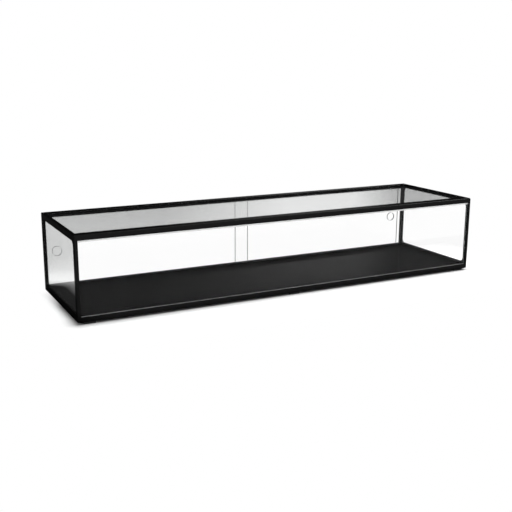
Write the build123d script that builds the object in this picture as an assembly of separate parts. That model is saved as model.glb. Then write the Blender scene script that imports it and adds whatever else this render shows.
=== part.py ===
from build123d import *
import os

# Countertop display case: two cast end frames joined by four extruded rails,
# glazed on every side, with two glass doors that slide past each other at the rear.
# Origin: middle of the footprint, on the counter. +X to the right, +Y to the rear, +Z up.

# Driving sizes of the whole case
LENGTH = 1200.0
DEPTH = 330.0
FRAME_HEIGHT = 215.0
FOOT_HEIGHT = 5.0

# How far a cut runs past the open side that it comes from
OVERCUT = 1.0

# Cast end frames
END_THICKNESS = 8.0
END_POST_WIDTH = 15.0
END_TOP_BAND = 17.0
END_BOTTOM_BAND = 18.5
END_OUTER_RADIUS = 4.0
WINDOW_RADIUS = 12.0
EDGE_BEVEL = 0.8
REBATE_LAP = 4.0
SPIGOT_LENGTH = 40.0
SPIGOT_CLEARANCE = 0.2
SPIGOT_LEAD = 1.2
SPIGOT_TAPER = 0.5
LEDGE_REACH = 8.0
LEDGE_THICKNESS = 2.2
LEDGE_BEVEL = 1.2

# Extruded rails
RAIL_DEPTH = 26.0
TOP_RAIL_FACE = 13.5
BOTTOM_RAIL_FACE = 14.0
BOTTOM_RAIL_DEPTH = 18.0
RAIL_EDGE_RADIUS = 3.5
SMALL_RADIUS = 0.8
RAIL_WALL = 2.0
THIN_WALL = 1.6
RAIL_ROOF = 2.5
GLASS_LEDGE_WIDTH = 11.0
PANEL_FLANGE_WIDTH = 10.0
PANEL_FLANGE_THICKNESS = 2.0

# Glazing
SHEET_GLASS = 4.0
TOP_GLASS = 5.0
TOP_GLASS_RECESS = 5.0
TOP_GLASS_END_GAP = 2.6
TOP_GLASS_SIDE_GAP = 0.6
GLASS_ARRIS = 0.4
PANE_SETBACK = 0.3
GASKET_WALL = 0.5
GASKET_SIGHT_GAP = 0.6
BED_THICKNESS = 0.6
BED_END_INSET = 0.5
BED_SIDE_INSET = 1.5
BED_LIP_DROP = 0.4
TRIM_END_GAP = 0.3
FRONT_LIP = 1.4
SEAL_WALL = 0.6
SEAL_SHOWING = 4.5
FRONT_GROOVE_DEPTH = 6.5

# Sliding doors and their tracks
DOOR_LENGTH = 603.0
DOOR_AJAR = 12.0
DOOR_GAP = 0.3
FINGER_HOLE_DIAMETER = 26.0
FINGER_HOLE_SETBACK = 27.5
TRACK_WIDTH = 6.6
TRACK_OUTER_WALL = 1.6
TRACK_MIDDLE_WALL = 1.4
LOWER_TRACK_DEPTH = 6.5
UPPER_TRACK_DEPTH = 11.0
LOWER_LINER_WALL = 0.4
LOWER_LINER_FLOOR = 0.5
UPPER_LINER_WALL = 1.0
UPPER_LINER_ROOF = 0.8
DOOR_ENGAGEMENT = 4.0
GLIDE_LENGTH = 30.0
GLIDE_WALL = 0.6
GLIDE_SOLE = 1.7
GLIDE_DROP = 0.6
GLIDE_BEVEL = 1.2
GLIDE_SETBACK = 60.0
BUFFER_THICKNESS = 2.0
BUFFER_END_GAP = 1.0
BUFFER_REAR_GAP = 2.0
BUFFER_ROUNDING = 0.8

# Base panel, braces, feet and fixings
PANEL_THICKNESS = 3.0
PANEL_GAP = 0.3
PANEL_BEVEL = 0.5
BRACE_WIDTH = 44.0
BRACE_SHEET = 1.5
BRACE_SPACING = 392.0
BRACE_END_GAP = 1.0
BRACE_STEP_RUN = 4.0
BRACE_RIB_HEIGHT = 1.6
BRACE_RIB_RADIUS = 3.0
BRACE_RIB_INSET = 10.0
FOOT_LENGTH = 30.0
FOOT_WIDTH = 16.0
FOOT_BEVEL = 1.0
FOOT_INSET_X = 30.0
FOOT_INSET_Y = 10.0
SCREW_RADIUS = 1.9
HOLE_RADIUS = 2.0
HOLE_SPARE_DEPTH = 0.2
FOOT_SCREW_MOUTH = 5.2
FOOT_SCREW_SINK = 1.2
FOOT_SCREW_REACH = 5.3
RAIL_SCREW_SINK = 0.2
RAIL_SCREW_REACH = 7.8
RIVET_SIDE = 3.2
RIVET_HOLE_SIDE = 3.3
RIVET_HEAD_RADIUS = 3.2
RIVET_HEAD_HEIGHT = 1.0

# Levels and places that follow from the sizes above
HALF_LENGTH = LENGTH / 2
HALF_DEPTH = DEPTH / 2
BOTTOM = FOOT_HEIGHT
TOP = FOOT_HEIGHT + FRAME_HEIGHT
INNER_X = HALF_LENGTH - END_THICKNESS
TOP_RAIL_BOTTOM = TOP - TOP_RAIL_FACE
BOTTOM_RAIL_TOP = BOTTOM + BOTTOM_RAIL_FACE
RAIL_INNER_Y = HALF_DEPTH - RAIL_DEPTH
BOTTOM_RAIL_INNER_Y = HALF_DEPTH - BOTTOM_RAIL_DEPTH
TOP_GLASS_LEVEL = TOP - TOP_GLASS_RECESS
GLASS_LEDGE_LEVEL = TOP_GLASS_LEVEL - TOP_GLASS - BED_THICKNESS
LEDGE_EDGE_Y = RAIL_INNER_Y - GLASS_LEDGE_WIDTH
PANEL_LEVEL = BOTTOM + PANEL_FLANGE_THICKNESS
FLANGE_EDGE_Y = BOTTOM_RAIL_INNER_Y - PANEL_FLANGE_WIDTH
REBATE_DEPTH = PANE_SETBACK + SHEET_GLASS + GASKET_WALL
PANE_LAP = REBATE_LAP - GASKET_WALL
FRONT_GLASS_Y = -HALF_DEPTH + FRONT_LIP + SEAL_WALL
GROOVE_WIDTH = SHEET_GLASS + 2 * SEAL_WALL
TOP_GROOVE_ROOF = TOP_RAIL_BOTTOM + FRONT_GROOVE_DEPTH
BOTTOM_GROOVE_FLOOR = BOTTOM_RAIL_TOP - FRONT_GROOVE_DEPTH
OUTER_TRACK_Y = HALF_DEPTH - TRACK_OUTER_WALL - TRACK_WIDTH / 2
INNER_TRACK_Y = OUTER_TRACK_Y - TRACK_WIDTH - TRACK_MIDDLE_WALL
TRACK_FLOOR = BOTTOM_RAIL_TOP - LOWER_TRACK_DEPTH
TRACK_ROOF = TOP_RAIL_BOTTOM + UPPER_TRACK_DEPTH
GLIDE_BOTTOM = TRACK_FLOOR + LOWER_LINER_FLOOR + DOOR_GAP
DOOR_BOTTOM = GLIDE_BOTTOM + GLIDE_SOLE
DOOR_TOP = TOP_RAIL_BOTTOM + DOOR_ENGAGEMENT
DOOR_END_X = INNER_X - BUFFER_THICKNESS - DOOR_GAP
WINDOW_LOW = BOTTOM + END_BOTTOM_BAND
WINDOW_HIGH = TOP - END_TOP_BAND
FOOT_X = HALF_LENGTH - FOOT_INSET_X
FOOT_Y = HALF_DEPTH - FOOT_INSET_Y

# Hollow chambers of the rails, as (low y, low z, high y, high z)
CHAMBER_LOW = TOP_RAIL_BOTTOM + RAIL_WALL
CHAMBER_HIGH = TOP - RAIL_ROOF
FRONT_CHAMBER = (FRONT_GLASS_Y + SHEET_GLASS + SEAL_WALL + FRONT_LIP, CHAMBER_LOW,
                 -RAIL_INNER_Y - RAIL_WALL, CHAMBER_HIGH)
REAR_CHAMBER = (RAIL_INNER_Y + THIN_WALL, CHAMBER_LOW,
                INNER_TRACK_Y - TRACK_WIDTH / 2 - THIN_WALL, CHAMBER_HIGH)
LOWER_REAR_CHAMBER = (BOTTOM_RAIL_INNER_Y + RAIL_WALL, BOTTOM + THIN_WALL,
                      HALF_DEPTH - THIN_WALL, TRACK_FLOOR - THIN_WALL)
LOWER_FRONT_CHAMBER = (-LOWER_REAR_CHAMBER[2], LOWER_REAR_CHAMBER[1],
                       -LOWER_REAR_CHAMBER[0], LOWER_REAR_CHAMBER[3])


def section(y_low, z_low, y_high, z_high):
    """Rectangle of a cross-section, its local x along Y and its local y along Z."""
    middle = Pos((y_low + y_high) / 2, (z_low + z_high) / 2)
    return middle * Rectangle(y_high - y_low, z_high - z_low)


def along_x(profile, half_length=INNER_X):
    """Carries a cross-section along X, centred on the middle of the case."""
    return extrude(Plane.YZ.offset(-half_length) * profile, amount=2 * half_length)


def slab(x_low, y_low, z_low, x_high, y_high, z_high):
    """Block given by its two opposite corners."""
    middle = Pos((x_low + x_high) / 2, (y_low + y_high) / 2, (z_low + z_high) / 2)
    return middle * Box(x_high - x_low, y_high - y_low, z_high - z_low)


def rounded(profile, corners, radius):
    """Rounds the profile's corners that lie nearest to the given (y, z) points."""
    picked = [profile.vertices().sort_by_distance((y, z, 0))[0] for y, z in corners]
    return fillet(picked, radius)


def both_ends(part):
    """The piece at the right-hand end with its mirror image at the left."""
    return part, mirror(part, about=Plane.YZ)


# Long rails: one cross-section each, carried from end frame to end frame


def front_top_rail():
    """Hollow rail with a groove below for the front glass and a ledge for the top glass."""
    profile = section(-HALF_DEPTH, TOP_RAIL_BOTTOM, -RAIL_INNER_Y, TOP)
    profile += section(-HALF_DEPTH, TOP_RAIL_BOTTOM, -LEDGE_EDGE_Y, GLASS_LEDGE_LEVEL)
    profile -= section(*FRONT_CHAMBER)
    groove_y = FRONT_GLASS_Y - SEAL_WALL
    profile -= section(groove_y, TOP_RAIL_BOTTOM - OVERCUT, groove_y + GROOVE_WIDTH, TOP_GROOVE_ROOF)
    profile = rounded(profile, [(-HALF_DEPTH, TOP)], RAIL_EDGE_RADIUS)
    soft_corners = [(-RAIL_INNER_Y, TOP), (-LEDGE_EDGE_Y, GLASS_LEDGE_LEVEL)]
    profile = rounded(profile, soft_corners, SMALL_RADIUS)
    return along_x(profile) - top_rail_holes(FRONT_CHAMBER)


def rear_top_rail():
    """Hollow rail with two deep door channels below and a ledge for the top glass."""
    profile = section(RAIL_INNER_Y, TOP_RAIL_BOTTOM, HALF_DEPTH, TOP)
    profile += section(LEDGE_EDGE_Y, TOP_RAIL_BOTTOM, HALF_DEPTH, GLASS_LEDGE_LEVEL)
    profile -= section(*REAR_CHAMBER)
    for track_y in (INNER_TRACK_Y, OUTER_TRACK_Y):
        half_width = TRACK_WIDTH / 2
        profile -= section(track_y - half_width, TOP_RAIL_BOTTOM - OVERCUT, track_y + half_width, TRACK_ROOF)
    profile = rounded(profile, [(HALF_DEPTH, TOP)], RAIL_EDGE_RADIUS)
    soft_corners = [(RAIL_INNER_Y, TOP), (LEDGE_EDGE_Y, GLASS_LEDGE_LEVEL)]
    profile = rounded(profile, soft_corners, SMALL_RADIUS)
    return along_x(profile) - top_rail_holes(REAR_CHAMBER)


def front_bottom_rail():
    """Hollow rail with a groove above for the front glass and a flange for the base panel."""
    profile = section(-HALF_DEPTH, BOTTOM, -BOTTOM_RAIL_INNER_Y, BOTTOM_RAIL_TOP)
    profile += section(-HALF_DEPTH, BOTTOM, -FLANGE_EDGE_Y, PANEL_LEVEL)
    profile -= section(*LOWER_FRONT_CHAMBER)
    groove_y = FRONT_GLASS_Y - SEAL_WALL
    groove_back = groove_y + GROOVE_WIDTH
    profile -= section(groove_y, BOTTOM_GROOVE_FLOOR, groove_back, BOTTOM_RAIL_TOP + OVERCUT)
    profile -= section(groove_back + FRONT_LIP, BOTTOM_GROOVE_FLOOR,
                       -BOTTOM_RAIL_INNER_Y - FRONT_LIP, BOTTOM_RAIL_TOP - THIN_WALL)
    soft_corners = [(-HALF_DEPTH, BOTTOM), (-BOTTOM_RAIL_INNER_Y, BOTTOM_RAIL_TOP)]
    profile = rounded(profile, soft_corners, SMALL_RADIUS)
    return along_x(profile) - foot_holes(-FOOT_Y) - rivet_holes(-1)


def rear_bottom_rail():
    """Hollow rail with two shallow door tracks above and a flange for the base panel."""
    profile = section(BOTTOM_RAIL_INNER_Y, BOTTOM, HALF_DEPTH, BOTTOM_RAIL_TOP)
    profile += section(FLANGE_EDGE_Y, BOTTOM, HALF_DEPTH, PANEL_LEVEL)
    profile -= section(*LOWER_REAR_CHAMBER)
    for track_y in (INNER_TRACK_Y, OUTER_TRACK_Y):
        half_width = TRACK_WIDTH / 2
        profile -= section(track_y - half_width, TRACK_FLOOR, track_y + half_width, BOTTOM_RAIL_TOP + OVERCUT)
    soft_corners = [(HALF_DEPTH, BOTTOM), (BOTTOM_RAIL_INNER_Y, BOTTOM_RAIL_TOP)]
    profile = rounded(profile, soft_corners, SMALL_RADIUS)
    return along_x(profile) - foot_holes(FOOT_Y) - rivet_holes(1)


# End frames: cast rings with a rounded window, a glass rebate, four spigots and two ledges


def window_outline(margin):
    """Rounded window outline, grown by the margin all round."""
    width = DEPTH - 2 * END_POST_WIDTH + 2 * margin
    height = WINDOW_HIGH - WINDOW_LOW + 2 * margin
    middle = Pos(0, (WINDOW_LOW + WINDOW_HIGH) / 2)
    return middle * RectangleRounded(width, height, WINDOW_RADIUS + margin)


def end_plate(outline, x_low, x_high):
    """Carries an outline of the end's plane from one X to another."""
    return extrude(Plane.YZ.offset(x_low) * outline, amount=x_high - x_low)


def spigot(chamber):
    """Tapered tongue that fills the end of a rail's chamber."""
    y_low, z_low, y_high, z_high = chamber
    gap = SPIGOT_CLEARANCE
    tongue = slab(INNER_X - SPIGOT_LENGTH, y_low + gap, z_low + gap,
                  INNER_X, y_high - gap, z_high - gap)
    return chamfer(tongue.faces().sort_by(Axis.X)[0].edges(), SPIGOT_LEAD, SPIGOT_TAPER)


def end_frame():
    """Right-hand end frame."""
    middle = Pos(0, BOTTOM + FRAME_HEIGHT / 2)
    ring = end_plate(middle * RectangleRounded(DEPTH, FRAME_HEIGHT, END_OUTER_RADIUS), INNER_X, HALF_LENGTH)
    ring -= end_plate(window_outline(0), INNER_X, HALF_LENGTH)
    ring = chamfer(ring.faces().sort_by(Axis.X)[-1].edges(), EDGE_BEVEL)
    ring -= end_plate(window_outline(REBATE_LAP), INNER_X, INNER_X + REBATE_DEPTH)
    for chamber in (FRONT_CHAMBER, REAR_CHAMBER, LOWER_FRONT_CHAMBER, LOWER_REAR_CHAMBER):
        ring += spigot(chamber)
    top_ledge = slab(INNER_X - LEDGE_REACH, -LEDGE_EDGE_Y + DOOR_GAP, GLASS_LEDGE_LEVEL - LEDGE_THICKNESS,
                     INNER_X, LEDGE_EDGE_Y - DOOR_GAP, GLASS_LEDGE_LEVEL)
    base_ledge = slab(INNER_X - LEDGE_REACH, -FLANGE_EDGE_Y + DOOR_GAP, BOTTOM,
                      INNER_X, FLANGE_EDGE_Y - DOOR_GAP, PANEL_LEVEL)
    ring += chamfer(top_ledge.edges().sort_by(Axis.X)[0:4].sort_by(Axis.Z)[0], LEDGE_BEVEL)
    ring += base_ledge
    ring -= foot_holes(-FOOT_Y) + foot_holes(FOOT_Y)
    ring -= top_rail_holes(FRONT_CHAMBER) + top_rail_holes(REAR_CHAMBER)
    return ring


def end_glass():
    """Right-hand end pane, set in the end frame's rebate."""
    inner_face = INNER_X + PANE_SETBACK
    return end_plate(window_outline(PANE_LAP), inner_face, inner_face + SHEET_GLASS)


def end_gasket():
    """Right-hand glazing gasket: an angle of rubber round the edge and outer face of the pane."""
    inner_face = INNER_X + PANE_SETBACK
    gasket = end_plate(window_outline(REBATE_LAP), inner_face, INNER_X + REBATE_DEPTH)
    gasket -= end_plate(window_outline(PANE_LAP), INNER_X, inner_face + SHEET_GLASS)
    gasket -= end_plate(window_outline(GASKET_SIGHT_GAP), INNER_X, HALF_LENGTH)
    return gasket


# Glass panes, seals and the bed under the top glass


def polished(pane, across):
    """Bevels the edges of a pane's two broad faces."""
    faces = pane.faces().sort_by(across)
    return chamfer(faces[0].edges() + faces[-1].edges(), GLASS_ARRIS)


def front_glass():
    """Front pane, held at the top and bottom in the rails' grooves."""
    half_x = INNER_X - TRIM_END_GAP
    pane = slab(-half_x, FRONT_GLASS_Y, BOTTOM_GROOVE_FLOOR + SEAL_WALL,
                half_x, FRONT_GLASS_Y + SHEET_GLASS, TOP_GROOVE_ROOF - SEAL_WALL)
    return polished(pane, Axis.Y)


def front_seal(z_closed, z_open):
    """Clear channel over one edge of the front glass, from its closed side to its lips."""
    y_low = FRONT_GLASS_Y - SEAL_WALL
    z_low, z_high = min(z_closed, z_open), max(z_closed, z_open)
    profile = section(y_low, z_low, y_low + GROOVE_WIDTH, z_high)
    inner_closed = z_closed + (SEAL_WALL if z_open > z_closed else -SEAL_WALL)
    inner_low, inner_high = min(inner_closed, z_open), max(inner_closed, z_open)
    profile -= section(FRONT_GLASS_Y, inner_low, FRONT_GLASS_Y + SHEET_GLASS, inner_high)
    return along_x(profile, INNER_X - TRIM_END_GAP)


def top_glass():
    """Top pane, lying below the rails' tops so that goods can't slide off."""
    half_x = INNER_X - TOP_GLASS_END_GAP
    half_y = RAIL_INNER_Y - TOP_GLASS_SIDE_GAP
    pane = slab(-half_x, -half_y, TOP_GLASS_LEVEL - TOP_GLASS, half_x, half_y, TOP_GLASS_LEVEL)
    return polished(pane, Axis.Z)


def top_glass_bed():
    """Rubber bed under the top glass, with a lip that fills the joint round its edge."""
    lip_x = INNER_X - TOP_GLASS_END_GAP
    lip_y = RAIL_INNER_Y - TOP_GLASS_SIDE_GAP
    bed_x = INNER_X - LEDGE_REACH + BED_END_INSET
    bed_y = LEDGE_EDGE_Y + BED_SIDE_INSET
    glass_underside = TOP_GLASS_LEVEL - TOP_GLASS
    bed = slab(-INNER_X, -RAIL_INNER_Y, GLASS_LEDGE_LEVEL,
               INNER_X, RAIL_INNER_Y, TOP_GLASS_LEVEL - BED_LIP_DROP)
    bed -= slab(-lip_x, -lip_y, glass_underside, lip_x, lip_y, TOP)
    bed -= slab(-bed_x, -bed_y, BOTTOM, bed_x, bed_y, TOP)
    return bed


# Sliding doors


def door_glass(x_start, track_y, hole_x):
    """Frameless pane with polished edges and a finger hole."""
    mid_height = (DOOR_BOTTOM + DOOR_TOP) / 2
    outline = Pos(x_start + DOOR_LENGTH / 2, mid_height) * Rectangle(DOOR_LENGTH, DOOR_TOP - DOOR_BOTTOM)
    outline -= Pos(hole_x, mid_height) * Circle(FINGER_HOLE_DIAMETER / 2)
    front_plane = Plane.XZ.offset(-track_y - SHEET_GLASS / 2)
    return polished(extrude(front_plane * outline, amount=SHEET_GLASS), Axis.Y)


def door_glide(x_middle, track_y):
    """Shoe on the door's lower edge, bevelled at both ends to run easily in the track."""
    outer = SHEET_GLASS / 2 + GLIDE_WALL
    height = BOTTOM_RAIL_TOP - GLIDE_DROP - GLIDE_BOTTOM
    outline = Pos(x_middle, GLIDE_BOTTOM + height / 2) * Rectangle(GLIDE_LENGTH, height)
    outline = chamfer(outline.vertices(), GLIDE_BEVEL)
    shoe = extrude(Plane.XZ.offset(-track_y - outer) * outline, amount=2 * outer)
    slot = slab(x_middle - GLIDE_LENGTH, track_y - SHEET_GLASS / 2, DOOR_BOTTOM,
                x_middle + GLIDE_LENGTH, track_y + SHEET_GLASS / 2, TOP)
    return shoe - slot


def lower_liner(track_y):
    """Low-friction channel pressed into one lower track."""
    half_width = TRACK_WIDTH / 2
    profile = section(track_y - half_width, TRACK_FLOOR, track_y + half_width, BOTTOM_RAIL_TOP)
    inner = half_width - LOWER_LINER_WALL
    profile -= section(track_y - inner, TRACK_FLOOR + LOWER_LINER_FLOOR, track_y + inner, TOP)
    return along_x(profile, INNER_X - TRIM_END_GAP)


def upper_liner(track_y):
    """Guide channel pressed into one upper track, deep enough to lift a door out."""
    half_width = TRACK_WIDTH / 2
    profile = section(track_y - half_width, TOP_RAIL_BOTTOM, track_y + half_width, TRACK_ROOF)
    inner = half_width - UPPER_LINER_WALL
    profile -= section(track_y - inner, BOTTOM, track_y + inner, TRACK_ROOF - UPPER_LINER_ROOF)
    return along_x(profile, INNER_X - TRIM_END_GAP)


def door_buffer():
    """Right-hand rubber strip that the doors close against."""
    inner_y = INNER_TRACK_Y - SHEET_GLASS / 2
    strip = slab(INNER_X - BUFFER_THICKNESS, inner_y, BOTTOM_RAIL_TOP + BUFFER_END_GAP,
                 INNER_X, HALF_DEPTH - BUFFER_REAR_GAP, TOP_RAIL_BOTTOM - BUFFER_END_GAP)
    return fillet(strip.faces().sort_by(Axis.X)[0].edges().filter_by(Axis.Z), BUFFER_ROUNDING)


# Base panel, braces and fixings


def base_panel():
    """Gloss base panel, lying on the rails' flanges and the end frames' ledges."""
    half_x = INNER_X - PANEL_GAP
    half_y = BOTTOM_RAIL_INNER_Y - PANEL_GAP
    panel = slab(-half_x, -half_y, PANEL_LEVEL, half_x, half_y, PANEL_LEVEL + PANEL_THICKNESS)
    return chamfer(panel.faces().sort_by(Axis.Z)[-1].edges(), PANEL_BEVEL)


def brace_strip(x_middle, tab_y, step_y, rise_y):
    """Sheet strip along Y, joggled up between the flanges to the panel's underside."""
    low, high = BOTTOM - BRACE_SHEET, PANEL_LEVEL - BRACE_SHEET
    upper_line = [(-tab_y, BOTTOM), (-step_y, BOTTOM), (-rise_y, PANEL_LEVEL),
                  (rise_y, PANEL_LEVEL), (step_y, BOTTOM), (tab_y, BOTTOM)]
    lower_line = [(tab_y, low), (step_y, low), (rise_y, high),
                  (-rise_y, high), (-step_y, low), (-tab_y, low)]
    outline = make_face(Polyline(*upper_line, *lower_line, close=True))
    return extrude(Plane.YZ.offset(x_middle - BRACE_WIDTH / 2) * outline, amount=BRACE_WIDTH)


def rib_bar(x_middle, crown_level, length):
    """Round bar along Y whose lowest line is at the given level."""
    middle = Pos(x_middle, 0, crown_level + BRACE_RIB_RADIUS)
    return middle * Rot(90, 0, 0) * Cylinder(BRACE_RIB_RADIUS, length)


def base_brace(x_middle):
    """Joggled steel strip under the panel, with a rib pressed down along its middle."""
    step_y = FLANGE_EDGE_Y - BRACE_END_GAP
    rise_y = step_y - BRACE_STEP_RUN
    strip = brace_strip(x_middle, BOTTOM_RAIL_INNER_Y - BRACE_END_GAP, step_y, rise_y)
    underside = PANEL_LEVEL - BRACE_SHEET
    crown = underside - BRACE_RIB_HEIGHT
    rib_length = 2 * (rise_y - BRACE_RIB_INSET)
    half_width = BRACE_WIDTH / 2
    below_strip = slab(x_middle - half_width, -rise_y, 0, x_middle + half_width, rise_y, underside)
    strip += rib_bar(x_middle, crown, rib_length) & below_strip
    strip -= rib_bar(x_middle, crown + BRACE_SHEET, rib_length - 2 * BRACE_SHEET)
    return strip - rivet_holes(-1) - rivet_holes(1)


def rivet_places(side):
    """Middles of the rivets along the front flange (side -1) or the rear one (side 1)."""
    y = side * (BOTTOM_RAIL_INNER_Y - PANEL_FLANGE_WIDTH / 2)
    return [(x, y) for x in (-BRACE_SPACING, 0, BRACE_SPACING)]


def square_post(x, y, side, z_low, z_high):
    """Upright square post about the given place."""
    return slab(x - side / 2, y - side / 2, z_low, x + side / 2, y + side / 2, z_high)


def rivet_holes(side):
    """Punched square holes through one flange and the braces under it."""
    low, high = BOTTOM - 2 * BRACE_SHEET, PANEL_LEVEL
    return Part() + [square_post(x, y, RIVET_HOLE_SIDE, low, high) for x, y in rivet_places(side)]


def brace_rivet(x, y):
    """Push rivet with a low cone for its head and a square shank that can't turn."""
    low = BOTTOM - BRACE_SHEET
    head = [(0, low - RIVET_HEAD_HEIGHT), (RIVET_HEAD_RADIUS, low), (0, low)]
    return turned(head, x, y) + square_post(x, y, RIVET_SIDE, low, PANEL_LEVEL)


def brace_rivets():
    """Push rivets that hold the braces to the flanges."""
    return Compound(children=[brace_rivet(x, y) for side in (-1, 1) for x, y in rivet_places(side)])


def turned(radius_height_pairs, x, y):
    """Solid of revolution about a vertical axis, from (radius, height) points."""
    profile = make_face(Polyline(*radius_height_pairs, close=True))
    return Pos(x, y, 0) * revolve(Plane.XZ * profile, Axis.Z)


def countersunk_hole(x, y, face, mouth_radius, depth):
    """Clearance for a countersunk screw that goes up through a face."""
    cone_top = face + mouth_radius - HOLE_RADIUS
    tip = face + depth
    points = [(0, face), (mouth_radius, face), (HOLE_RADIUS, cone_top), (HOLE_RADIUS, tip), (0, tip)]
    return turned(points, x, y)


def countersunk_screw(x, y, face, mouth_radius, sink, depth):
    """Screw for such a hole, its head sunk above the face."""
    head_level = face + sink
    head_radius = mouth_radius - sink - HOLE_RADIUS + SCREW_RADIUS
    cone_top = head_level + head_radius - SCREW_RADIUS
    tip = face + depth
    points = [(0, head_level), (head_radius, head_level), (SCREW_RADIUS, cone_top), (SCREW_RADIUS, tip), (0, tip)]
    return turned(points, x, y)


def foot_holes(y):
    """Clearance for the two foot screws along one rail."""
    depth = FOOT_HEIGHT + FOOT_SCREW_REACH + HOLE_SPARE_DEPTH
    return Part() + [countersunk_hole(x, y, 0, FOOT_SCREW_MOUTH, depth) for x in (-FOOT_X, FOOT_X)]


def feet(y):
    """Rubber feet along one rail: a plain middle one, and outer ones countersunk for their screws."""
    blocks = []
    for x in (-FOOT_X, 0, FOOT_X):
        block = slab(x - FOOT_LENGTH / 2, y - FOOT_WIDTH / 2, 0, x + FOOT_LENGTH / 2, y + FOOT_WIDTH / 2, BOTTOM)
        block = chamfer(block.edges().filter_by(Axis.Z), FOOT_BEVEL)
        blocks.append(chamfer(block.faces().sort_by(Axis.Z)[0].edges(), FOOT_BEVEL / 2) - foot_holes(y))
    return Compound(children=blocks)


def foot_screws():
    """Countersunk screws up through the outer feet and the rails into the spigots."""
    depth = FOOT_HEIGHT + FOOT_SCREW_REACH
    places = [(x, y) for y in (-FOOT_Y, FOOT_Y) for x in (-FOOT_X, FOOT_X)]
    return Compound(children=[countersunk_screw(x, y, 0, FOOT_SCREW_MOUTH, FOOT_SCREW_SINK, depth)
                              for x, y in places])


def rail_screw_places(chamber):
    """Middles of the two screws that lock one top rail to the spigots."""
    x = INNER_X - SPIGOT_LENGTH / 2
    y = (chamber[0] + chamber[2]) / 2
    return [(-x, y), (x, y)]


def top_rail_holes(chamber):
    """Countersunk clearance from below a top rail into the spigots at both its ends."""
    mouth = HOLE_RADIUS + RAIL_WALL
    depth = RAIL_SCREW_REACH + HOLE_SPARE_DEPTH
    return Part() + [countersunk_hole(x, y, TOP_RAIL_BOTTOM, mouth, depth) for x, y in rail_screw_places(chamber)]


def top_rail_screws():
    """Countersunk screws that lock both top rails to the spigots."""
    mouth = HOLE_RADIUS + RAIL_WALL
    places = rail_screw_places(FRONT_CHAMBER) + rail_screw_places(REAR_CHAMBER)
    return Compound(children=[countersunk_screw(x, y, TOP_RAIL_BOTTOM, mouth, RAIL_SCREW_SINK, RAIL_SCREW_REACH)
                              for x, y in places])


def pieces():
    """Every piece of the case by its name."""
    right_frame, left_frame = both_ends(end_frame())
    right_pane, left_pane = both_ends(end_glass())
    right_gasket, left_gasket = both_ends(end_gasket())
    right_buffer, left_buffer = both_ends(door_buffer())
    left_start = -DOOR_END_X
    right_start = DOOR_END_X - DOOR_AJAR - DOOR_LENGTH
    left_hole = left_start + FINGER_HOLE_SETBACK
    right_hole = right_start + DOOR_LENGTH - FINGER_HOLE_SETBACK
    named = {
        "left_end_frame": left_frame,
        "right_end_frame": right_frame,
        "left_end_glass": left_pane,
        "right_end_glass": right_pane,
        "left_end_gasket": left_gasket,
        "right_end_gasket": right_gasket,
        "front_top_rail": front_top_rail(),
        "front_bottom_rail": front_bottom_rail(),
        "rear_top_rail": rear_top_rail(),
        "rear_bottom_rail": rear_bottom_rail(),
        "front_glass": front_glass(),
        "front_glass_top_seal": front_seal(TOP_GROOVE_ROOF, TOP_RAIL_BOTTOM - SEAL_SHOWING),
        "front_glass_bottom_seal": front_seal(BOTTOM_GROOVE_FLOOR, BOTTOM_RAIL_TOP),
        "top_glass": top_glass(),
        "top_glass_bed": top_glass_bed(),
        "left_door_glass": door_glass(left_start, INNER_TRACK_Y, left_hole),
        "right_door_glass": door_glass(right_start, OUTER_TRACK_Y, right_hole),
        "left_door_buffer": left_buffer,
        "right_door_buffer": right_buffer,
        "inner_lower_track_liner": lower_liner(INNER_TRACK_Y),
        "outer_lower_track_liner": lower_liner(OUTER_TRACK_Y),
        "inner_upper_track_liner": upper_liner(INNER_TRACK_Y),
        "outer_upper_track_liner": upper_liner(OUTER_TRACK_Y),
        "base_panel": base_panel(),
        "brace_rivets": brace_rivets(),
        "top_rail_screws": top_rail_screws(),
        "foot_screws": foot_screws(),
        "front_feet": feet(-FOOT_Y),
        "rear_feet": feet(FOOT_Y),
    }
    for door, start, track_y in (("left", left_start, INNER_TRACK_Y), ("right", right_start, OUTER_TRACK_Y)):
        named[f"{door}_door_glide_left"] = door_glide(start + GLIDE_SETBACK, track_y)
        named[f"{door}_door_glide_right"] = door_glide(start + DOOR_LENGTH - GLIDE_SETBACK, track_y)
    for name, x in (("left", -BRACE_SPACING), ("middle", 0), ("right", BRACE_SPACING)):
        named[f"base_brace_{name}"] = base_brace(x)
    return named


os.makedirs("parts", exist_ok=True)
for node, shape in pieces().items():
    export_step(shape, f"parts/{node}.step")
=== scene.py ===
# %% [markdown]
# A countertop display case is mostly glass held in a thin black frame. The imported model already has
# every solid at its real size, so this lesson dresses it: it sets up a camera and a pale studio, gives
# each surface its own finish, and adds the small shapes that are too fine for the solids, such as beads
# of sealant, screw recesses and the grooves of the rubber feet. The first cell loads the frame and keeps
# its box.

import math

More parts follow.
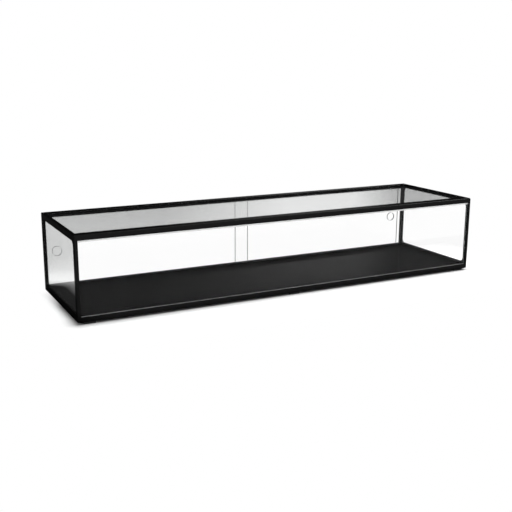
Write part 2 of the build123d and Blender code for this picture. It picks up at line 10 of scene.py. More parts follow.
import bmesh
import bpy
import numpy as np
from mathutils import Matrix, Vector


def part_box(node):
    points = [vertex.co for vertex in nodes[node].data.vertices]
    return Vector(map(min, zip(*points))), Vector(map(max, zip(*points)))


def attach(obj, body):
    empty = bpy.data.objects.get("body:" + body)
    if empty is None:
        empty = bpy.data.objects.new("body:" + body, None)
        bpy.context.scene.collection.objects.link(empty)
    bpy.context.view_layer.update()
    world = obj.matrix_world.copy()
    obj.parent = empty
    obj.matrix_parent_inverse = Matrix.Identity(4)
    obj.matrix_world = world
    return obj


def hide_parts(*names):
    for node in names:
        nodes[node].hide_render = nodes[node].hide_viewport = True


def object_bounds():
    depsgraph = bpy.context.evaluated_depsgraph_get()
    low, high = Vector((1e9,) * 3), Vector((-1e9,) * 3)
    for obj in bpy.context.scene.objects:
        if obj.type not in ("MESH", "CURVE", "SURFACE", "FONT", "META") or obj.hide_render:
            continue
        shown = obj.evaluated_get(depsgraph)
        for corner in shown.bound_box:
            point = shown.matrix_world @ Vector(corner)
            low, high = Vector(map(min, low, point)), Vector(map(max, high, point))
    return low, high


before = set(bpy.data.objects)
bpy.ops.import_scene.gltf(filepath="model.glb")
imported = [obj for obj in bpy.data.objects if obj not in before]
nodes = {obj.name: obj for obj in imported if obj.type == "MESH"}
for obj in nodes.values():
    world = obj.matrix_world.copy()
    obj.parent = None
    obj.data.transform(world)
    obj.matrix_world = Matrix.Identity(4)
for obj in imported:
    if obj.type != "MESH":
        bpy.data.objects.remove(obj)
cad_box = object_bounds()
print("nodes", len(nodes), "box", [tuple(round(c, 4) for c in corner) for corner in cad_box])

# %% [markdown]
# The camera comes first, because every later choice is judged through it. The picture was taken from
# the left of the case, about two metres away and a little above it, with a lens slightly longer than
# normal. The perspective of the frame's edges gives the place, the angles and a very small roll, so they
# are written as plain values, in metres and degrees.

# %% Camera
CAMERA_PLACE = (-1.0808, -2.0136, 0.6253)
CAMERA_PITCH_DOWN = 13.642
CAMERA_YAW = 27.359
CAMERA_ROLL = -0.264
LENS_MM = 57.522
SENSOR_MM = 36.0

camera_data = bpy.data.cameras.new("camera")
camera_data.lens = LENS_MM
camera_data.sensor_width = SENSOR_MM
camera = bpy.data.objects.new("camera", camera_data)
camera.location = CAMERA_PLACE
turns = (90 - CAMERA_PITCH_DOWN, CAMERA_ROLL, -CAMERA_YAW)
camera.rotation_euler = [math.radians(turn) for turn in turns]
bpy.context.scene.collection.objects.link(camera)
bpy.context.scene.camera = camera
bpy.context.scene.view_settings.view_transform = "Standard"
print("camera at", CAMERA_PLACE, "lens", LENS_MM)

# %% [markdown]
# Materials are node trees, and writing one by hand is long. The small class Tree keeps the later cells
# short: its methods add a node with its values, do sums, blend colours or shaders, and join the result to
# the output. Functions beside it start a material, write a colour and give nodes their finish.

# %% Node helpers
NOISE_LOW = 0.3
NOISE_HIGH = 0.7


class Tree:
    """A material's or world's node tree with short calls."""

    def __init__(self, owner):
        owner.use_nodes = True
        self.tree = owner.node_tree
        self.tree.nodes.clear()

    def feed(self, value, socket):
        """Links another node's socket, or writes a plain value."""
        if isinstance(value, bpy.types.NodeSocket):
            self.tree.links.new(value, socket)
        else:
            socket.default_value = value

    def node(self, kind, **values):
        """Adds a node. A value goes to the input of its name, or else to the node's own property."""
        made = self.tree.nodes.new(kind)
        for name, value in values.items():
            if name in made.inputs:
                self.feed(value, made.inputs[name])
            else:
                setattr(made, name, value)
        return made

    def shader(self, kind, **values):
        """Adds a shader node and returns what it gives out."""
        return self.node("ShaderNode" + kind, **values).outputs[0]

    def blend(self, share, first, second):
        """Mixes two shaders: a share of 0 is all the first, 1 is all the second."""
        made = self.node("ShaderNodeMixShader", Fac=share)
        self.feed(first, made.inputs[1])
        self.feed(second, made.inputs[2])
        return made.outputs[0]

    def mix(self, share, first, second):
        """Mixes two colours in the same way."""
        made = self.node("ShaderNodeMix", data_type="RGBA")
        self.feed(share, made.inputs["Factor"])
        self.feed(first, made.inputs["A"])
        self.feed(second, made.inputs["B"])
        return made.outputs["Result"]

    def math(self, operation, first, second=0.0):
        """One sum of two values."""
        made = self.node("ShaderNodeMath", operation=operation)
        self.feed(first, made.inputs[0])
        self.feed(second, made.inputs[1])
        return made.outputs[0]

    def span(self, value, low, high, new_low, new_high):
        """Moves a value from one range to another and holds it there at both ends."""
        made = self.node("ShaderNodeMapRange")
        for socket, number in zip(made.inputs[:5], (value, low, high, new_low, new_high)):
            self.feed(number, socket)
        return made.outputs[0]

    def ramp(self, value, stops):
        """Grey tones at places from 0 to 1, joined by straight slopes."""
        made = self.node("ShaderNodeValToRGB", Fac=value)
        elements = made.color_ramp.elements
        while len(elements) < len(stops):
            elements.new(0.5)
        for element, (place, tone) in zip(elements, sorted(stops)):
            element.position = place
            element.color = grey(tone)
        return made.outputs["Color"]

    def noise(self, scale, detail=2.0, stretch=(1, 1, 1)):
        """Soft noise fixed to the piece. A small number in stretch draws it out along that axis."""
        place = self.node("ShaderNodeTexCoord").outputs["Object"]
        placed = self.node("ShaderNodeMapping", Vector=place, Scale=stretch)
        made = self.node("ShaderNodeTexNoise", Vector=placed.outputs[0], Scale=scale, Detail=detail)
        return made.outputs["Fac"]

    def vary(self, noise, low, high):
        """Spreads the middle part of a noise, where most of it lies, from low to high."""
        return self.span(noise, NOISE_LOW, NOISE_HIGH, low, high)

    def bump(self, height, strength, distance):
        """Small relief that follows a height."""
        made = self.node("ShaderNodeBump", Height=height, Strength=strength, Distance=distance)
        return made.outputs["Normal"]

    def surface(self, shader):
        """Joins the finished shader to the output."""
        kind = "ShaderNodeOutputWorld" if shader.node.type == "BACKGROUND" else "ShaderNodeOutputMaterial"
        self.tree.links.new(shader, self.node(kind).inputs["Surface"])


def new_material(name):
    """An empty material and its tree."""
    material = bpy.data.materials.new(name)
    return material, Tree(material)


def rgba(colour, share=1.0):
    """A colour of three channels, darkened to a share and opaque."""
    return tuple(channel * share for channel in colour) + (1.0,)


def grey(value, warmth=0.0):
    """An opaque grey, a little redder where warmth is above 0 and bluer where it is below."""
    return rgba((value * (1 + warmth), value, value * (1 - warmth)))


def dress(material, slot, *names):
    """Gives CAD nodes their finished material in place of the plain one."""
    for name in names:
        mesh = nodes[name].data
        mesh.materials.clear()
        mesh.materials.append(material)
    print(slot, "on", len(names), "nodes")


# %% [markdown]
# The floor is a large white sheet. Near the case it is matt, so that it takes the shadow, and elsewhere it
# shines white by itself and meets the white world without an edge. Under the case and just beside it, its
# colour is darkened as painted shade. Behind the case it takes no shadow. Mirrors see it white too, with two
# exceptions, both painted. Close to the case it is dark, a painted shadow. Past the left end it has painted
# light, bright at first and dimmer further off, because the left end pane mirrors that strip at a flat angle
# and shows it clearly. A ray that bounces twice inside a pane has come through it, so only an odd count of
# bounces makes a mirror image.

# %% Floor
FLOOR_HALF = 9.0
FLOOR_COLOUR = 0.93
CASE_HALF_X = cad_box[1][0]
CASE_HALF_Y = cad_box[1][1]
SHADOW_REACH = 0.20
SHADOW_REACH_LEFT = 0.035
# Painted shade: under the case the floor keeps only a share of its colour, and it has all of it back over a
# short reach.
SHADE_UNDER_CASE = 0.5
SHADE_UNDER_REACH = 0.035
# Mirrors see the painted tones below, a painted shadow near the case and painted light past it, on a rim
# round the case, and past the left end with a soft edge.
PAINTED_SHADOW_RIM = 0.05
LEFT_STRIP_FADE = 0.1
PAINTED_MIRROR_REACH = 0.50
# Each pair is a share of that reach and the painted tone that mirrors see there.
PAINTED_MIRROR_TONES = (
    (0.0, 0.02), (0.10, 0.03), (0.23, 0.85), (0.36, 0.70), (0.48, 0.42), (0.80, 0.18), (1.0, 0.15))


def seen_in_mirror(tree):
    """1 for a ray that a surface has mirrored, 0 for a view straight or through glass and for scattering."""
    path = tree.node("ShaderNodeLightPath").outputs
    odd_count = tree.math("GREATER_THAN", tree.math("MODULO", path["Glossy Depth"], 2.0), 0.5)
    return tree.math("MULTIPLY", odd_count, tree.math("SUBTRACT", 1.0, path["Is Diffuse Ray"]))


def beside_case(tree, x, y):
    """Distance on the floor from the case's footprint: hypot(max(|x| - a, 0), max(|y| - b, 0))."""
    over_x = tree.math("MAXIMUM", tree.math("SUBTRACT", tree.math("ABSOLUTE", x), CASE_HALF_X), 0.0)
    over_y = tree.math("MAXIMUM", tree.math("SUBTRACT", tree.math("ABSOLUTE", y), CASE_HALF_Y), 0.0)
    squares = tree.math("ADD", tree.math("POWER", over_x, 2.0), tree.math("POWER", over_y, 2.0))
    return tree.math("SQRT", squares)


def floor_material():
    """Matt near the case, where the shadow falls, with painted shade; white light of its own elsewhere."""
    material, tree = new_material("floor_white")
    place = tree.node("ShaderNodeTexCoord").outputs["Object"]
    x, y, _ = tree.node("ShaderNodeSeparateXYZ", Vector=place).outputs
    distance = beside_case(tree, x, y)
    left = tree.span(x, -CASE_HALF_X - SHADOW_REACH_LEFT, -CASE_HALF_X, 0.0, 1.0)
    near = tree.math("MULTIPLY", left, tree.span(distance, 0.0, SHADOW_REACH, 1.0, 0.0))
    not_behind = tree.span(y, 0.0, CASE_HALF_Y, 1.0, 0.0)
    # Painted shade: the floor's colour is darkened under the case and just beside it.
    painted_shade = tree.span(distance, 0.0, SHADE_UNDER_REACH, SHADE_UNDER_CASE, 1.0)
    matt = tree.shader("BsdfDiffuse", Color=tree.mix(painted_shade, grey(0.0), grey(FLOOR_COLOUR)))
    white = tree.shader("Emission", Color=grey(1.0), Strength=1.0)
    seen = tree.blend(tree.math("MULTIPLY", near, not_behind), white, matt)
    # Painted shadow and painted light that only mirrors see: dark close to the case, a bright strip past the
    # left end.
    tones = tree.ramp(tree.span(distance, 0.0, PAINTED_MIRROR_REACH, 0.0, 1.0), PAINTED_MIRROR_TONES)
    right_of_left_end = tree.span(x, -CASE_HALF_X, -CASE_HALF_X + LEFT_STRIP_FADE, 0.0, 1.0)
    open_floor = tree.math("MULTIPLY", right_of_left_end, tree.span(distance, 0.0, PAINTED_SHADOW_RIM, 0.0, 1.0))
    mirrored = tree.shader("Emission", Color=tree.mix(open_floor, tones, grey(1.0)), Strength=1.0)
    tree.surface(tree.blend(seen_in_mirror(tree), seen, mirrored))
    return material


def floor_sheet():
    """A square of four corners in the plane z = 0."""
    half = FLOOR_HALF
    corners = [(-half, -half, 0), (half, -half, 0), (half, half, 0), (-half, half, 0)]
    mesh = bpy.data.meshes.new("floor")
    mesh.from_pydata(corners, [], [(0, 1, 2, 3)])
    mesh.materials.append(floor_material())
    floor = bpy.data.objects.new("floor", mesh)
    bpy.context.scene.collection.objects.link(floor)


floor_sheet()
print("floor", 2 * FLOOR_HALF, "m wide")

# %% [markdown]
# The world is white to the camera, through glass and in most mirror images. Only behind the case do
# mirrors see a dark wall. It fades out between 17 and 33 degrees above the horizon and has one soft bright
# patch. The top pane and the base panel mirror that wall at a flat angle, which gives the top its grey
# tone and its brighter part. Surfaces that scatter light get a soft even ambient.

# %% World
WALL_GREY = 0.03
# The wall fades out between two heights of a direction, as the z of its unit vector.
WALL_TOP = (0.30, 0.55)
# Both sides of the wall fade between two bearings, in degrees away from straight behind. The patch, which
# is at the right, rises between one pair of bearings and falls between another.
WALL_SIDES = (60.0, 80.0)
PATCH_RISE = (21.0, 29.5)
PATCH_FALL = (34.3, 37.2)
PATCH_TONE = 0.58
AMBIENT = 0.85


def studio_world():
    """White, with an ambient tone for matt surfaces and a dark wall behind the case for mirrors."""
    world = bpy.data.worlds.new("studio")
    bpy.context.scene.world = world
    tree = Tree(world)
    direction = tree.node("ShaderNodeTexCoord").outputs["Generated"]
    x, y, z = tree.node("ShaderNodeSeparateXYZ", Vector=direction).outputs
    bearing = tree.math("MULTIPLY", tree.math("ARCTAN2", x, y), 180 / math.pi)
    rise = tree.span(bearing, *PATCH_RISE, 0.0, PATCH_TONE)
    patch = tree.math("MULTIPLY", rise, tree.span(bearing, *PATCH_FALL, 1.0, 0.0))
    above_wall = tree.span(z, *WALL_TOP, WALL_GREY, 1.0)
    beside_wall = tree.span(tree.math("ABSOLUTE", bearing), *WALL_SIDES, WALL_GREY, 1.0)
    wall = tree.math("ADD", tree.math("MAXIMUM", above_wall, beside_wall), patch)
    mirrored = tree.mix(tree.math("MINIMUM", wall, 1.0), grey(0.0), grey(1.0))
    scattered = tree.node("ShaderNodeLightPath").outputs["Is Diffuse Ray"]
    unmirrored = tree.mix(scattered, grey(1.0), grey(AMBIENT))
    colour = tree.mix(seen_in_mirror(tree), unmirrored, mirrored)
    tree.surface(tree.shader("Background", Color=colour, Strength=1.0))


studio_world()
print("world patch from", PATCH_RISE[0], "to", PATCH_FALL[1], "degrees")

# %% [markdown]
# Three soft lamps shape the shadow and the highlights. The key stands high at the right, so the shadow
# falls to the left. A long strip over the front edge draws the fine bright line along the top rail, and a
# short one beyond the right end makes that line brighter there.

# %% Lamps


def area_lamp(name, place, target, size, watts):
    """A rectangular softbox, whose own -Z points from its place to a target."""
    data = bpy.data.lights.new(name, "AREA")
    data.shape = "RECTANGLE"
    data.size, data.size_y = size
    data.energy = watts
    lamp = bpy.data.objects.new(name, data)
    lamp.location = place
    aim = np.array(target) - np.array(place)
    flat = math.hypot(aim[0], aim[1])
    lamp.rotation_euler = (math.atan2(flat, -aim[2]), 0, math.atan2(-aim[0], aim[1]))
    bpy.context.scene.collection.objects.link(lamp)


area_lamp("key_softbox", place=(2.2, 0.4, 2.6), target=(0.0, 0, 0.1), size=(1.6, 1.2), watts=36)
area_lamp("edge_strip", place=(1.35, -0.25, 2.4), target=(1.35, -0.25, 0), size=(2.5, 0.3), watts=36)
area_lamp("edge_strip_right", place=(2.4, -0.25, 2.35), target=(2.4, -0.25, 0), size=(0.9, 0.3), watts=46)
print("three lamps")

# %% [markdown]
# The end frames and rails share one finish: black powder coat, smooth enough to mirror softly, with the
# fine orange-peel that baked powder always has. The colour is not quite even, so a slow noise varies it
# and the roughness, and a fine noise drives the bump. A plain glossy paint would mirror the bright studio
# strongly at flat angles. This coat stays black there, so the shader is the metallic one with a very dark
# colour, whose tint holds the mirror strength down towards the edge and leaves only the lamps' fine lines.

# %% Black powder coat
COAT_EDGE_TINT = 0.33


def powder_coat():
    """Dark metallic shader with slow patches of tone and gloss and a fine orange-peel."""
    material, tree = new_material("powder_coat_black")
    patches = tree.noise(scale=14.0, detail=3.0)
    peel = tree.noise(scale=900.0, detail=1.0)
    tree.surface(tree.shader("BsdfPrincipled", **{
        "Base Color": tree.mix(patches, grey(0.009), grey(0.012)),
        "Roughness": tree.vary(patches, 0.16, 0.24),
        "Metallic": 0.9,
        "Specular Tint": grey(COAT_EDGE_TINT),
        "Specular IOR Level": 0.05,
        "Normal": tree.bump(peel, strength=0.06, distance=0.0002)}))
    return material


dress(powder_coat(), "frame_black", "left_end_frame", "right_end_frame", "front_top_rail",
      "front_bottom_rail", "rear_top_rail", "rear_bottom_rail")

# %% [markdown]
# Clear float glass is nearly colourless through its thickness, but light that runs inside the sheet comes
# out of its edges dark and a little green. So the material has two parts, chosen by which way a face
# points: the broad faces are clear, and the narrow edges are a deep green. Rays from lamps pass straight
# through, so that the panes don't black out the inside of the case. The index sets how strongly a pane
# mirrors. The left end and the top show a clear mirror image, so theirs are near the 1.5 of real glass,
# and the other panes show hardly any and have a lower one.

# %% Glass
CLEAR = (1.0, 1.0, 1.0)
EDGE_GREEN = (0.004, 0.012, 0.011)
EDGE_IOR = 1.2
EDGE_ROUGHNESS = 0.2
# A face is a broad one where its normal points at least this much along the pane's thin axis.
BROAD_FACE = 0.9
# A thin film of smears darkens the tint to the first share, and lamps' light passes with the second.
FILM_SHARE = 0.985
LAMP_SHARE = 0.95

# Each finish has the pane's thin axis, its tint, its index and the nodes that get it.
PANES = {
    "end_glass": ("X", (0.99, 1.0, 0.995), 1.47, ["left_end_glass"]),
    "end_glass_clear": ("X", CLEAR, 1.25, ["right_end_glass"]),
    "front_glass": ("Y", CLEAR, 1.15, ["front_glass"]),
    "door_glass": ("Y", CLEAR, 1.15, ["left_door_glass", "right_door_glass"]),
    "top_glass": ("Z", (0.985, 0.995, 0.99), 1.41, ["top_glass"]),
}


def pane_glass(name, across, tint, ior):
    """Glass for a pane that is thin along the axis across: "X", "Y" or "Z"."""
    material, tree = new_material(name)
    smear = tree.noise(scale=9.0, detail=4.0)
    clear = tree.shader("BsdfPrincipled", **{
        "Base Color": tree.mix(smear, rgba(tint), rgba(tint, FILM_SHARE)),
        "Roughness": 0.0, "Transmission Weight": 1.0, "IOR": ior})
    edge = tree.shader("BsdfPrincipled", **{
        "Base Color": rgba(EDGE_GREEN),
        "Roughness": EDGE_ROUGHNESS, "Transmission Weight": 0.0, "IOR": EDGE_IOR})
    normal = tree.node("ShaderNodeTexCoord").outputs["Normal"]
    facing = tree.node("ShaderNodeSeparateXYZ", Vector=normal).outputs[across]
    is_edge = tree.math("LESS_THAN", tree.math("ABSOLUTE", facing), BROAD_FACE)
    passing = tree.shader("BsdfTransparent", Color=rgba(tint, LAMP_SHARE))
    lamp_ray = tree.node("ShaderNodeLightPath").outputs["Is Shadow Ray"]
    tree.surface(tree.blend(lamp_ray, tree.blend(is_edge, clear, edge), passing))
    return material


for name, (across, tint, ior, panes) in PANES.items():
    dress(pane_glass(name, across, tint, ior), "clear_glass", *panes)

# %% [markdown]
# The seals over and under the front glass are thin extrusions of clear plastic with a milky tinge. They
# glow a little from the light behind them, so they are mostly transparent, with a share of matt and
# translucent plastic and the faint streaks of the extruder running along their length.

# %% Milky seal
SEAL_BODY = 0.35
ALONG_X = (0.02, 1, 1)


def milky_seal():
    """Mostly transparent, with a body that is half matt and half translucent."""
    material, tree = new_material("milky_seal")
    streaks = tree.noise(scale=60.0, stretch=ALONG_X)
    colour = tree.mix(streaks, grey(0.93), grey(0.98))
    matt = tree.shader("BsdfPrincipled", **{"Base Color": colour, "Roughness": 0.45})
    glow = tree.shader("BsdfTranslucent", Color=colour)
    clear = tree.shader("BsdfTransparent", Color=grey(1.0))
    tree.surface(tree.blend(SEAL_BODY, clear, tree.blend(0.5, matt, glow)))
    return material


seal = milky_seal()
dress(seal, "clear_seal", "front_glass_top_seal", "front_glass_bottom_seal")

# %% [markdown]
# The base is a black laminate panel with a high gloss. It mirrors the wall behind the case and the patch
# on it, so its right part looks a little lighter. Use leaves faint wipe marks, which change the gloss and
# hardly the tone: a noise that is drawn out along the panel varies both. The shader is the dark metallic
# one again.

# %% Gloss base panel
PANEL_EDGE_TINT = 0.36


def gloss_laminate():
    """Dark metallic shader with long wipe marks and a slow ripple."""
    material, tree = new_material("gloss_laminate")
    wipes = tree.noise(scale=22.0, detail=4.0, stretch=(0.35, 1, 1))
    ripple = tree.noise(scale=35.0, detail=1.0)
    tree.surface(tree.shader("BsdfPrincipled", **{
        "Base Color": tree.mix(wipes, grey(0.012), grey(0.017)),
        "Roughness": tree.vary(wipes, 0.06, 0.13),
        "Metallic": 0.8,
        "Specular Tint": grey(PANEL_EDGE_TINT),
        "Specular IOR Level": 0.07,
        "Normal": tree.bump(ripple, strength=0.05, distance=0.0006)}))
    return material


dress(gloss_laminate(), "base_gloss", "base_panel")

# %% [markdown]
# Rubber and nylon are both near black, and differ in how they take light. Rubber is matt with a fine
# grain. Nylon is smoother, with drawing lines along the track. One function makes either, from its tone,
# its roughness, and the scale and depth of its grain.

# %% Rubber and nylon
GRAIN_TONES = (0.8, 1.25)
GRAIN_ROUGHNESS = 0.06


def dark_polymer(name, tone, roughness, grain_scale, depth, stretch=(1, 1, 1)):
    """A dull dark plastic, whose grain changes the tone, the roughness and the relief together."""
    material, tree = new_material(name)
    grain = tree.noise(grain_scale, detail=3.0, stretch=stretch)
    tree.surface(tree.shader("BsdfPrincipled", **{
        "Base Color": tree.mix(grain, *[grey(tone * share) for share in GRAIN_TONES]),
        "Roughness": tree.vary(grain, roughness - GRAIN_ROUGHNESS, roughness + GRAIN_ROUGHNESS),
        "Specular IOR Level": 0.15,
        "Normal": tree.bump(grain, strength=0.2, distance=depth)}))
    return material


gasket = dark_polymer("glazing_rubber", tone=0.010, roughness=0.6, grain_scale=700.0, depth=0.0002)
nylon = dark_polymer("slide_nylon", tone=0.014, roughness=0.38, grain_scale=500.0, depth=0.0001,
                     stretch=ALONG_X)
rubber = dark_polymer("foot_rubber", tone=0.018, roughness=0.7, grain_scale=900.0, depth=0.0003)
dress(gasket, "black_rubber", "left_end_gasket", "right_end_gasket", "top_glass_bed",
      "left_door_buffer", "right_door_buffer")
dress(nylon, "slide_nylon", "inner_lower_track_liner", "outer_lower_track_liner",
      "inner_upper_track_liner", "outer_upper_track_liner", "left_door_glide_left",
      "left_door_glide_right", "right_door_glide_left", "right_door_glide_right")
dress(rubber, "foot_rubber", "front_feet", "rear_feet")

# %% [markdown]
# Two metals are left. Galvanised sheet has a pattern of flat crystals, each with its own tone, which a
# Voronoi texture gives. Zinc-plated screws are finer, with a light brushing.

# %% Steel


def galvanised():
    """Cool grey metal, where each crystal has its own tone, roughness and height."""
    material, tree = new_material("galvanised_sheet")
    place = tree.node("ShaderNodeTexCoord").outputs["Object"]
    crystals = tree.node("ShaderNodeTexVoronoi", Vector=place, Scale=110.0).outputs["Color"]
    tone = tree.node("ShaderNodeSeparateColor", Color=crystals).outputs["Red"]
    tree.surface(tree.shader("BsdfPrincipled", **{
        "Base Color": tree.mix(tone, grey(0.40, warmth=-0.01), grey(0.60, warmth=-0.01)),
        "Roughness": tree.span(tone, 0.0, 1.0, 0.32, 0.5),
        "Metallic": 1.0,
        "Normal": tree.bump(tone, strength=0.1, distance=0.0001)}))
    return material


def zinc_plate():
    """Slightly warm metal with brushing that runs up and down."""
    material, tree = new_material("zinc_plate")
    brushing = tree.noise(scale=600.0, stretch=(1, 1, 0.1))
    tree.surface(tree.shader("BsdfPrincipled", **{
        "Base Color": tree.mix(brushing, grey(0.45, warmth=0.01), grey(0.62, warmth=0.01)),
        "Roughness": tree.vary(brushing, 0.22, 0.36),
        "Metallic": 1.0}))
    return material


zinc = zinc_plate()
dress(galvanised(), "brace_steel", "base_brace_left", "base_brace_middle", "base_brace_right")
dress(zinc, "screw_steel", "brace_rivets", "top_rail_screws", "foot_screws")

# %% [markdown]
# The small pieces below are surfaces worked out as whole grids of points. Each one is a closed shape: its
# profile runs along one direction of the grid, and the way round it along the other. One helper turns
# such a grid into a mesh, welds the points that meet at a pole, and lets the piece stand in for its solid.
# Sizes are in millimetres from here on.

# %% Grid helper
TURN_STEPS = 48
MM = 0.001
WELD_REACH = 1e-7
TIP_BEVEL = 0.4


def grid_piece(name, grids, material, slot, body, *stands_for):
    """One object from closed grids: point (i, j) joins (i + 1, j) and, wrapping round, (i, j + 1)."""
    points, quads = [], []
    for grid in grids:
        rows, columns = grid.shape[:2]
        first = sum(len(part) for part in points)
        index = first + np.arange(rows * columns).reshape(rows, columns)
        onward = np.roll(index, -1, axis=1)
        quads.append(np.stack([index[:-1], onward[:-1], onward[1:], index[1:]], axis=-1).reshape(-1, 4))
        points.append(grid.reshape(-1, 3) * MM)
    mesh = bpy.data.meshes.new(name)
    mesh.from_pydata(np.concatenate(points).tolist(), [], np.concatenate(quads).tolist())
    shape = bmesh.new()
    shape.from_mesh(mesh)
    bmesh.ops.remove_doubles(shape, verts=shape.verts, dist=WELD_REACH)
    bmesh.ops.recalc_face_normals(shape, faces=shape.faces)
    shape.to_mesh(mesh)
    shape.free()
    mesh.materials.append(material)
    made = bpy.data.objects.new(name, mesh)
    bpy.context.scene.collection.objects.link(made)
    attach(made, body)
    if stands_for:
        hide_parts(*stands_for)
    print(name, len(mesh.polygons), "faces")


def turned(profile, x, y):
    """Points (x + r cos a, y + r sin a, z) for each (r, z) of the profile and each angle a."""
    radius, height = np.array(profile, float).T
    angle = np.arange(TURN_STEPS) * 2 * np.pi / TURN_STEPS
    across = radius[:, None] * np.cos(angle)
    along = radius[:, None] * np.sin(angle)
    return np.stack([x + across, y + along, height[:, None] + 0 * across], axis=-1)


def shank(radius, start, end):
    """Profile of a plain shank from start to end, with its tip bevelled and closed."""
    return [(radius, start), (radius, end - TIP_BEVEL), (radius - TIP_BEVEL, end), (0, end)]


def node_box(name):
    """Low and high corner of a CAD node in millimetres."""
    return [np.array(corner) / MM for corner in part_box(name)]


# %% [markdown]
# The screws are countersunk and have a cross recess for the driver. The head is a flat disc in polar
# coordinates. Inside the cross its points are pushed up into the head, by a soft step in the distance
# from the slot's middle line, so that the recess has sloped walls like a real pressed one.

# %% Screws with a cross recess
HEAD_RADII = {"foot_screws": 3.9, "top_rail_screws": 3.7}
HEAD_RINGS = 22
SHANK_RADIUS = 1.9
RECESS_DEPTH = 1.1
SLOT_HALF_WIDTH = 0.45
SLOT_WALL = 0.25
SLOT_REACH = 0.62
SLOT_END_WALL = 0.3


def cross_screw(x, y, face, head_radius, reach):
    """Disc z = face + depth * cross, then a 45 degree cone and a shank that ends at reach.

    cross is 1 where min(|u|, |v|) is within the slot's half width and max(|u|, |v|) is within its reach,
    a share of the head's radius, with a slope at each edge.
    """
    disc = [(r, face) for r in np.linspace(0, head_radius, HEAD_RINGS)]
    body = shank(SHANK_RADIUS, face + head_radius - SHANK_RADIUS, reach)
    points = turned(disc + body, 0, 0)
    u, v = abs(points[:HEAD_RINGS, :, 0]), abs(points[:HEAD_RINGS, :, 1])
    near_slot = np.clip((SLOT_HALF_WIDTH + SLOT_WALL - np.minimum(u, v)) / SLOT_WALL, 0, 1)
    inside = np.clip((SLOT_REACH * head_radius - np.maximum(u, v)) / SLOT_END_WALL, 0, 1)
    points[:HEAD_RINGS, :, 2] += RECESS_DEPTH * near_slot * inside
    return points + [x, y, 0]


def screw_set(node, head_radius):
    """Screws at the four corners of a node's box, whose centres lie one head radius inside it."""
    low, high = node_box(node)
    places = [(x, y) for x in (low[0] + head_radius, high[0] - head_radius)
              for y in (low[1] + head_radius, high[1] - head_radius)]
    grids = [cross_screw(x, y, low[2], head_radius, high[2]) for x, y in places]
    grid_piece("cross_" + node, grids, zinc, "screw_steel", "case", node)


for screws_node, head_radius in HEAD_RADII.items():
    screw_set(screws_node, head_radius)

# %% [markdown]
# The braces are held by push rivets. Such a rivet has a low domed head with a round dimple, where its pin
# is driven in, and a shank that fills the hole above. A profile turned about a vertical line gives both.

# %% Push rivets
RIVET_RADIUS = 3.2
RIVET_SHANK = 1.55
DOME_HEIGHT = 1.0
DOME_RINGS = 10
DOME_START = 0.2
PIN_RADIUS = 1.0
PIN_SINK = 0.3
PIN_RIM_WIDTH = 0.05
PIN_RIM_HEIGHT = 0.03


def push_rivets():
    """Dome z = low + height * ((r - start) / (R - start))^2, round a flat pin head that is sunk a little."""
    low, high = node_box("brace_rivets")
    pin_top, head_top = low[2] + PIN_SINK, low[2] + DOME_HEIGHT
    pin = [(0, pin_top), (PIN_RADIUS, pin_top), (PIN_RADIUS + PIN_RIM_WIDTH, low[2] + PIN_RIM_HEIGHT)]
    radii = np.linspace(PIN_RADIUS + DOME_START, RIVET_RADIUS, DOME_RINGS)
    rise = DOME_HEIGHT * ((radii - radii[0]) / (radii[-1] - radii[0])) ** 2
    profile = pin + list(zip(radii, low[2] + rise)) + shank(RIVET_SHANK, head_top, high[2])
    far_x, far_y = high[0] - RIVET_RADIUS, high[1] - RIVET_RADIUS
    places = [(x, y) for x in (-far_x, 0, far_x) for y in (-far_y, far_y)]
    grids = [turned(profile, x, y) for x, y in places]
    grid_piece("push_rivets", grids, zinc, "screw_steel", "case", "brace_rivets")


push_rivets()

# %% [markdown]
# A moulded rubber foot is never a plain block. Its corners are round, and two grooves run round its sole
# so that it grips. Its outline is a superellipse, which looks like a rectangle with soft corners. Every
# ring of points lies between the screw's hole and that outline, and the rings' heights draw the grooves.

# %% Rubber feet
FOOT_HALF_LENGTH = 15.0
FOOT_HALF_WIDTH = 8.0
FOOT_TOP = 5.0
CORNER_POWER = 8
GROOVE = 0.6
# Each pair is a ring: its share of the way from the screw's mouth to the outline, and its height.
SOLE = ((0.0, 0.0), (0.14, 0.0), (0.22, GROOVE), (0.40, GROOVE), (0.48, 0.0), (0.60, 0.0), (0.66, GROOVE),
        (0.78, GROOVE), (0.84, 0.0), (0.96, 0.0), (0.99, 0.2), (1.0, 0.6), (1.0, 4.7), (0.985, FOOT_TOP))
SCREW_MOUTH = 5.2
SCREW_HOLE = 2.0


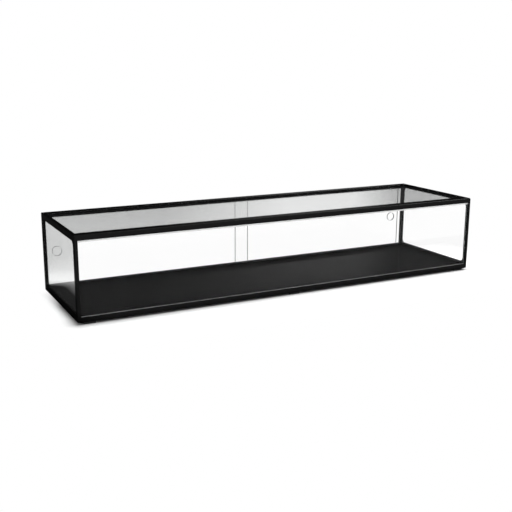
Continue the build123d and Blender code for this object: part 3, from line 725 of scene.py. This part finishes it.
def rubber_foot(x, y, has_screw):
    """Rings (1 - w) * circle + w * superellipse |x/a|^8 + |y/b|^8 = 1, each at its own height z."""
    mouth = SCREW_MOUTH if has_screw else 0.0
    hole = SCREW_HOLE if has_screw else 0.0
    rings = [(w, mouth, z) for w, z in SOLE] + [(0.0, hole, FOOT_TOP)]
    if has_screw:
        rings += [(0.0, hole, SCREW_MOUTH - SCREW_HOLE), (0.0, mouth, 0.0)]
    share, radius, height = np.array(rings).T[:, :, None]
    angle = (np.arange(2 * TURN_STEPS) + 0.5) * np.pi / TURN_STEPS
    cosine, sine = np.cos(angle), np.sin(angle)
    outline_x = FOOT_HALF_LENGTH * np.sign(cosine) * abs(cosine) ** (2 / CORNER_POWER)
    outline_y = FOOT_HALF_WIDTH * np.sign(sine) * abs(sine) ** (2 / CORNER_POWER)
    across = (1 - share) * radius * cosine + share * outline_x
    along = (1 - share) * radius * sine + share * outline_y
    return np.stack([x + across, y + along, height + 0 * across], axis=-1)


for feet_node in ("front_feet", "rear_feet"):
    low, high = node_box(feet_node)
    middle_y = (low[1] + high[1]) / 2
    outer_x = high[0] - FOOT_HALF_LENGTH
    feet = [rubber_foot(x, middle_y, x != 0) for x in (-outer_x, 0, outer_x)]
    grid_piece("ribbed_" + feet_node, feet, rubber, "foot_rubber", "case", feet_node)

# %% [markdown]
# The front glass stops a hair short of the end frames, and a thin bead of clear sealant closes each gap on
# the inside. A bead smoothed with a fingertip has a hollow quarter-round section. That section is carried
# straight up from the bottom rail to the top seal.

# %% Sealant beads
BEAD_RADIUS = 1.4
ARC_POINTS = 9


def sealant_bead(side, corner_x, corner_y, z_low, z_high):
    """Section: the corner, then the arc (x - r + r cos a, y + r + r sin a) for a from 0 to -90 degrees."""
    angle = np.linspace(0, -np.pi / 2, ARC_POINTS)
    x = np.append(corner_x, corner_x - BEAD_RADIUS + BEAD_RADIUS * np.cos(angle)) * side
    y = np.append(corner_y, corner_y + BEAD_RADIUS + BEAD_RADIUS * np.sin(angle))
    middle_x, middle_y = x.mean() + 0 * x, y.mean() + 0 * y
    rows = [(middle_x, middle_y, z_low), (x, y, z_low), (x, y, z_high), (middle_x, middle_y, z_high)]
    return np.stack([np.stack([across, along, 0 * across + z], axis=-1) for across, along, z in rows])


pane_inside = node_box("front_glass")[1][1]
frame_inside = node_box("front_top_rail")[1][0]
bead_bottom = node_box("front_bottom_rail")[1][2]
bead_top = node_box("front_glass_top_seal")[0][2]
beads = [sealant_bead(side, frame_inside, pane_inside, bead_bottom, bead_top) for side in (-1, 1)]
grid_piece("front_glass_sealant", beads, seal, "clear_seal", "case")
